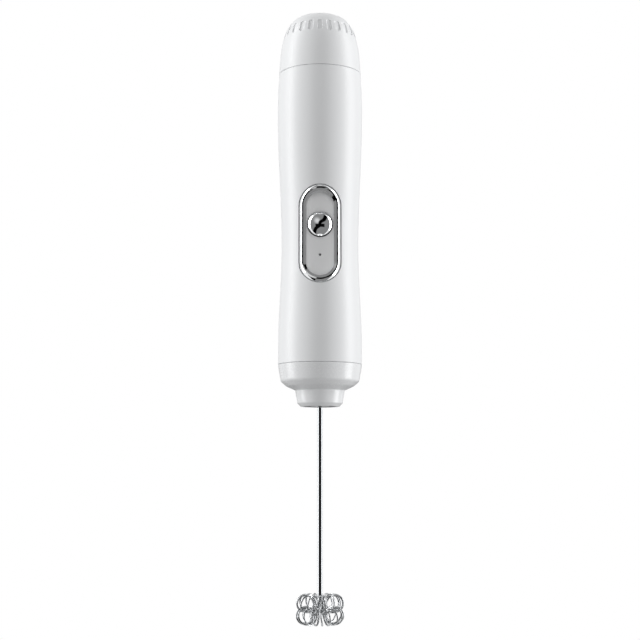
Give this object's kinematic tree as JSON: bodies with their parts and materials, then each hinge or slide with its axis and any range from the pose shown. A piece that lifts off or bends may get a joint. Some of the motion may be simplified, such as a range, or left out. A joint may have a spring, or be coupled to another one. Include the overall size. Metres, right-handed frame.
{
  "type": "milk frother",
  "caption": "Slim rechargeable milk frother: waisted white grip with a push button, a twist-off fluted cap and a motor-driven rod with a double coil whisk.",
  "frame": {"origin": "on the grip's axis at its waist, the narrowest section, where a hand or a stand holds it", "axes": "+Z along the axis towards the cap, with the whisk at -Z; the push button faces -Y; +X to the right when the button is looked at"},
  "size_m": [0.0344, 0.0344, 0.2463],
  "materials": {
    "white_shell": "satin white moulding",
    "white_nose": "polished white moulding",
    "grey_panel": "fine satin grey",
    "bezel_chrome": "bright plated ring with a polished bevel",
    "button_chrome": "mirror plated crown",
    "whisk_steel": "polished stainless wire and rod",
    "sheet_steel": "zinc plated steel",
    "contact_nickel": "nickel plated strip",
    "bush_brass": "turned brass",
    "copper": "enamelled copper",
    "rotor_iron": "laminated iron",
    "magnet": "dark ferrite",
    "dark_rubber": "matt black rubber",
    "silicone": "translucent grey silicone",
    "frame_plastic": "plain light moulding",
    "black_plastic": "plain black moulding",
    "clear_plastic": "clear moulding",
    "board_green": "solder-masked board",
    "cell_wrap": "shrink wrap",
    "red_wire": "insulated lead",
    "black_wire": "insulated lead"
  },
  "bodies": {
    "handle": {"handle_shell": "white_shell", "nose_cone": "white_nose", "button_panel": "grey_panel", "button_bezel": "bezel_chrome", "motor_can": "sheet_steel", "charge_socket_shell": "sheet_steel", "board_screw_1": "sheet_steel", "board_screw_2": "sheet_steel", "charge_board_screw_1": "sheet_steel", "charge_board_screw_2": "sheet_steel", "battery_tab_lower": "contact_nickel", "battery_tab_upper": "contact_nickel", "motor_terminal_1": "contact_nickel", "motor_terminal_2": "contact_nickel", "motor_bush_front": "bush_brass", "motor_bush_rear": "bush_brass", "motor_magnet_1": "magnet", "motor_magnet_2": "magnet", "shaft_seal": "dark_rubber", "neck_seal": "silicone", "nose_seal": "silicone", "nose_bush": "silicone", "button_stem_seal": "silicone", "chassis": "frame_plastic", "end_frame": "frame_plastic", "motor_end_bell": "black_plastic", "tact_switch": "black_plastic", "charge_socket_tongue": "black_plastic", "light_pipe": "clear_plastic", "status_led": "clear_plastic", "control_board": "board_green", "charge_board": "board_green", "battery_cell": "cell_wrap", "battery_lead_red": "red_wire", "charge_lead_red": "red_wire", "motor_lead_red": "red_wire", "battery_lead_black": "black_wire", "charge_lead_black": "black_wire", "motor_lead_black": "black_wire"},
    "button": {"power_button": "button_chrome", "switch_plunger": "silicone"},
    "whisk": {"motor_shaft": "sheet_steel", "motor_rotor": "rotor_iron", "motor_winding_1": "copper", "motor_winding_2": "copper", "motor_winding_3": "copper", "motor_commutator": "copper", "shaft_coupling": "bush_brass", "whisk_rod": "whisk_steel", "whisk_ring_wire": "whisk_steel", "whisk_coil_upper": "whisk_steel", "whisk_coil_lower": "whisk_steel"},
    "gasket": {"cap_gasket": "silicone"},
    "cap": {"top_cap": "white_shell"}
  },
  "joints": [
    {"name": "button_press", "type": "slide", "parent": "handle", "child": "button", "axis": [0, 1, 0], "range_m": [0, 0.0006], "stiffness_N_per_m": 1500, "springref_m": -0.0004},
    {"name": "whisk_spin", "type": "hinge", "parent": "handle", "child": "whisk", "pos_m": [0, 0, -0.0469], "axis": [0, 0, 1], "continuous": true},
    {"name": "cap_lift", "type": "slide", "parent": "handle", "child": "gasket", "axis": [0, 0, 1], "range_m": [0, 0.03]},
    {"name": "cap_twist", "type": "hinge", "parent": "gasket", "child": "cap", "pos_m": [0, 0, 0.0722], "axis": [0, 0, 1], "range_deg": [0, 30]}
  ]
}
